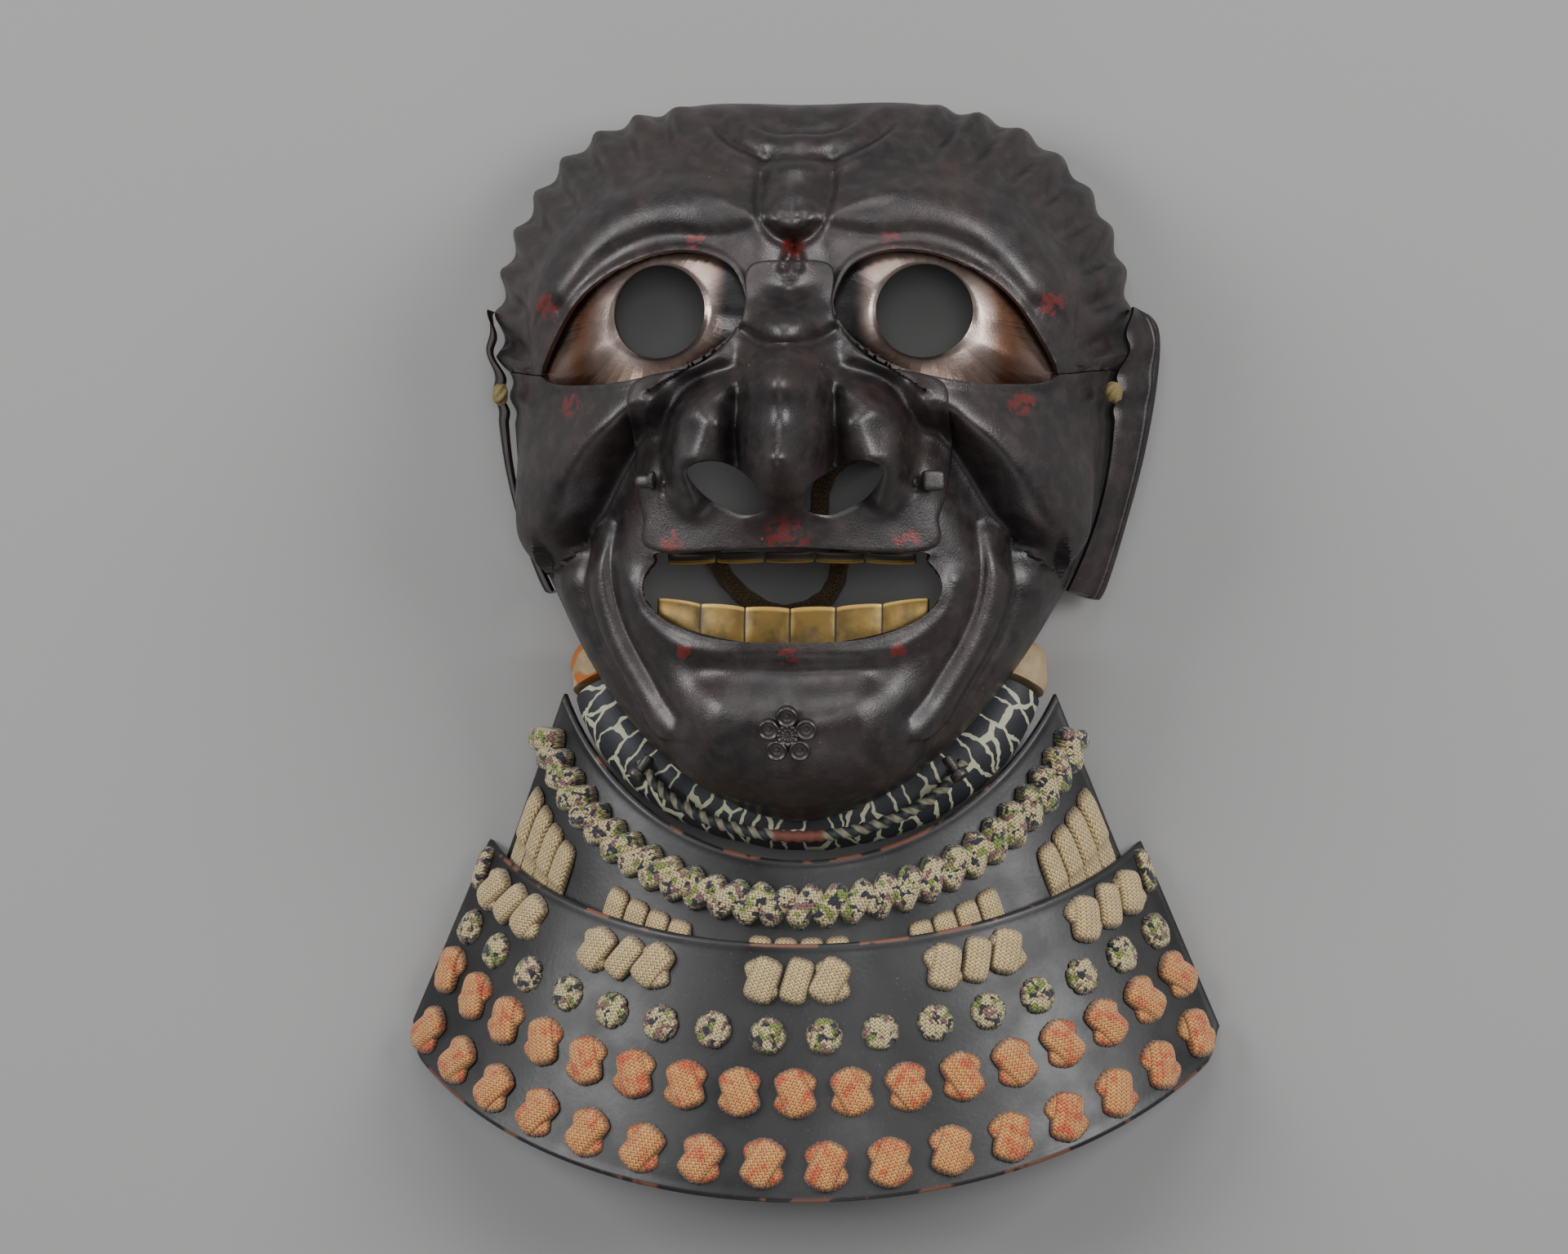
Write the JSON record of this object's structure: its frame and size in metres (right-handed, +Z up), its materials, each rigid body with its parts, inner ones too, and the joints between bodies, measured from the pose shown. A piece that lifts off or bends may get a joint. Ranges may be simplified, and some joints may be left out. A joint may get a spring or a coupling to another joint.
{
  "type": "samurai full face guard with throat lames",
  "caption": "Iron face guard with a detachable nose plate, pierced eyes and mouth, a printed leather collar roll and two curved laced throat lames",
  "frame": {"origin": "centre of the outline on the surface that the guard lies on", "axes": "+Z up and out of the face, +Y towards the crown, +X towards the wearer's left"},
  "size_m": [0.2434, 0.3231, 0.1165],
  "materials": {
    "russet_iron": "dark russet lacquer over hammered iron, semi-gloss, worn and rust-mottled",
    "black_lacquer": "smooth black lacquer, satin, red-brown where the edges are chipped",
    "copper_eye": "polished copper alloy with a dark patina towards the nose",
    "gilt_tooth": "worn gilding with dark joints between the teeth",
    "printed_leather": "soft leather, blue-black ground with a pale leaf print",
    "tan_leather": "undyed smoked leather, matt, stained",
    "beige_silk": "flat braided silk, chevron weave",
    "mixed_silk": "braided silk in cream, green, navy and plum",
    "orange_silk": "braided silk, orange with redder edges",
    "brown_silk": "soft brown braided cord"
  },
  "bodies": {
    "root": {"brow_plate": "russet_iron", "jaw_plate": "russet_iron", "nose_plate": "russet_iron", "ear_left": "russet_iron", "ear_right": "russet_iron", "nose_hook_left": "russet_iron", "nose_hook_right": "russet_iron", "cord_peg_left": "russet_iron", "cord_peg_right": "russet_iron", "chin_blossom": "russet_iron", "upper_lame": "black_lacquer", "lower_lame": "black_lacquer", "eye_plate_left": "copper_eye", "eye_plate_right": "copper_eye", "upper_teeth": "gilt_tooth", "lower_teeth": "gilt_tooth", "collar_roll": "printed_leather", "collar_piping": "printed_leather", "collar_end_left": "tan_leather", "collar_end_right": "tan_leather", "finger_lacing_far_left": "beige_silk", "finger_lacing_left": "beige_silk", "finger_lacing_middle": "beige_silk", "finger_lacing_right": "beige_silk", "finger_lacing_far_right": "beige_silk", "crossed_lacing_far_left": "beige_silk", "crossed_lacing_left": "beige_silk", "crossed_lacing_middle": "beige_silk", "crossed_lacing_right": "beige_silk", "crossed_lacing_far_right": "beige_silk", "rope_lacing": "mixed_silk", "edge_lacing_left": "mixed_silk", "edge_lacing_right": "mixed_silk", "dot_lacing_1": "mixed_silk", "dot_lacing_2": "mixed_silk", "dot_lacing_3": "mixed_silk", "dot_lacing_4": "mixed_silk", "orange_lacing_upper_1": "orange_silk", "orange_lacing_upper_2": "orange_silk", "orange_lacing_upper_3": "orange_silk", "orange_lacing_upper_4": "orange_silk", "orange_lacing_lower_1": "orange_silk", "orange_lacing_lower_2": "orange_silk", "orange_lacing_lower_3": "orange_silk", "orange_lacing_lower_4": "orange_silk", "head_cord": "brown_silk", "temple_knot_left": "brown_silk", "temple_knot_right": "brown_silk"}
  },
  "joints": []
}
